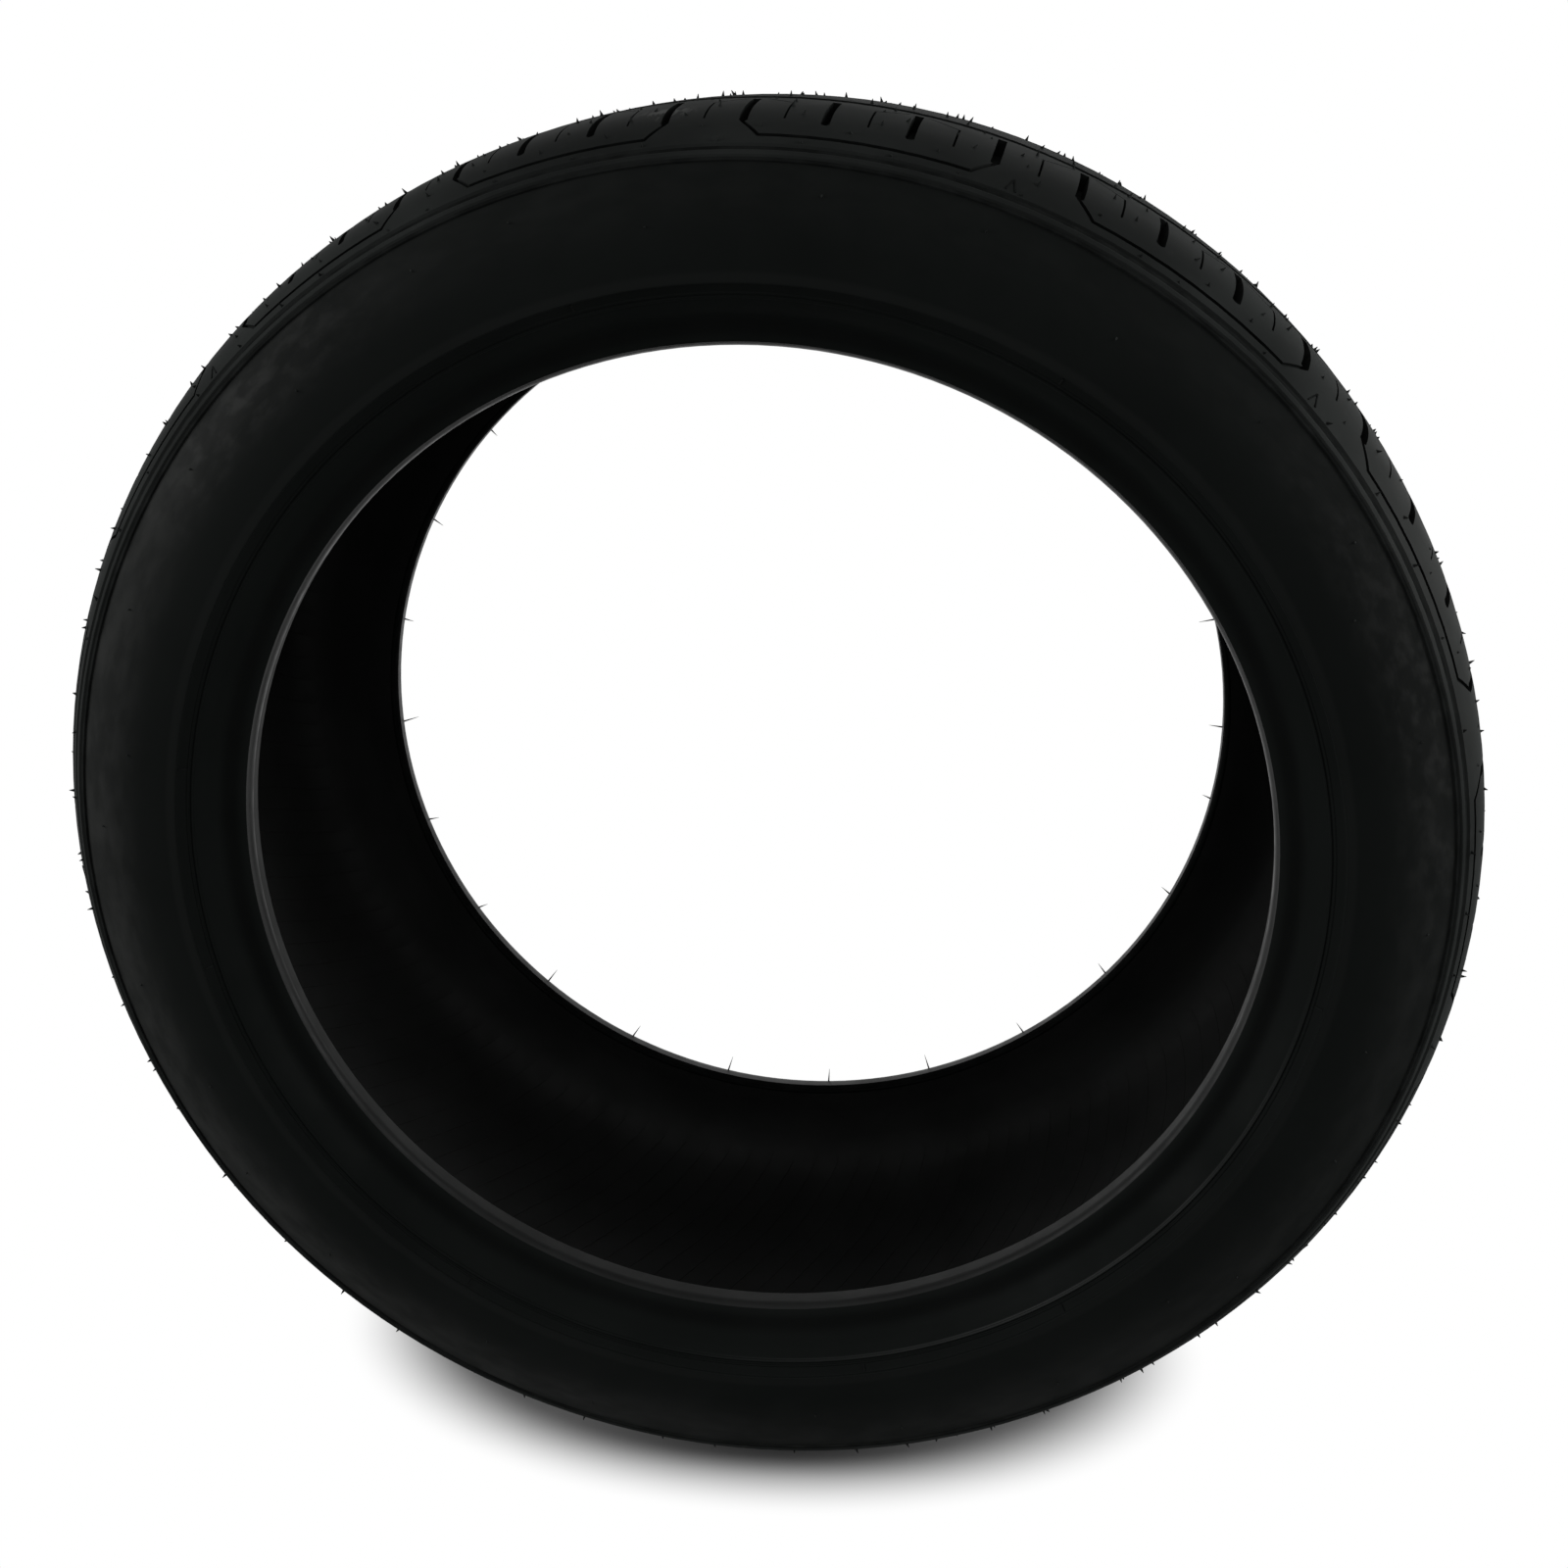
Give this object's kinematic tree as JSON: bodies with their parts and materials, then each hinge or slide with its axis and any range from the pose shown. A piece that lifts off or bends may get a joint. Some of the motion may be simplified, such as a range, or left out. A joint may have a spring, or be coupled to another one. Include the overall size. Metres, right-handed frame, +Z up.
{
  "type": "car tyre",
  "caption": "Low-profile car tyre: a moulded rubber ring with tread grooves, slotted shoulders, smooth sidewalls, rim protectors and open bead seats.",
  "frame": {"origin": "centre of the wheel: on the axle, halfway between the bead seats", "axes": "+Y along the axle towards the inner sidewall, so the outer sidewall faces -Y; +Z up; the tyre stands on its tread"},
  "size_m": [0.6486, 0.2672, 0.6468],
  "materials": {
    "rubber": "matt"
  },
  "bodies": {
    "root": {"tyre": "rubber"}
  },
  "joints": []
}
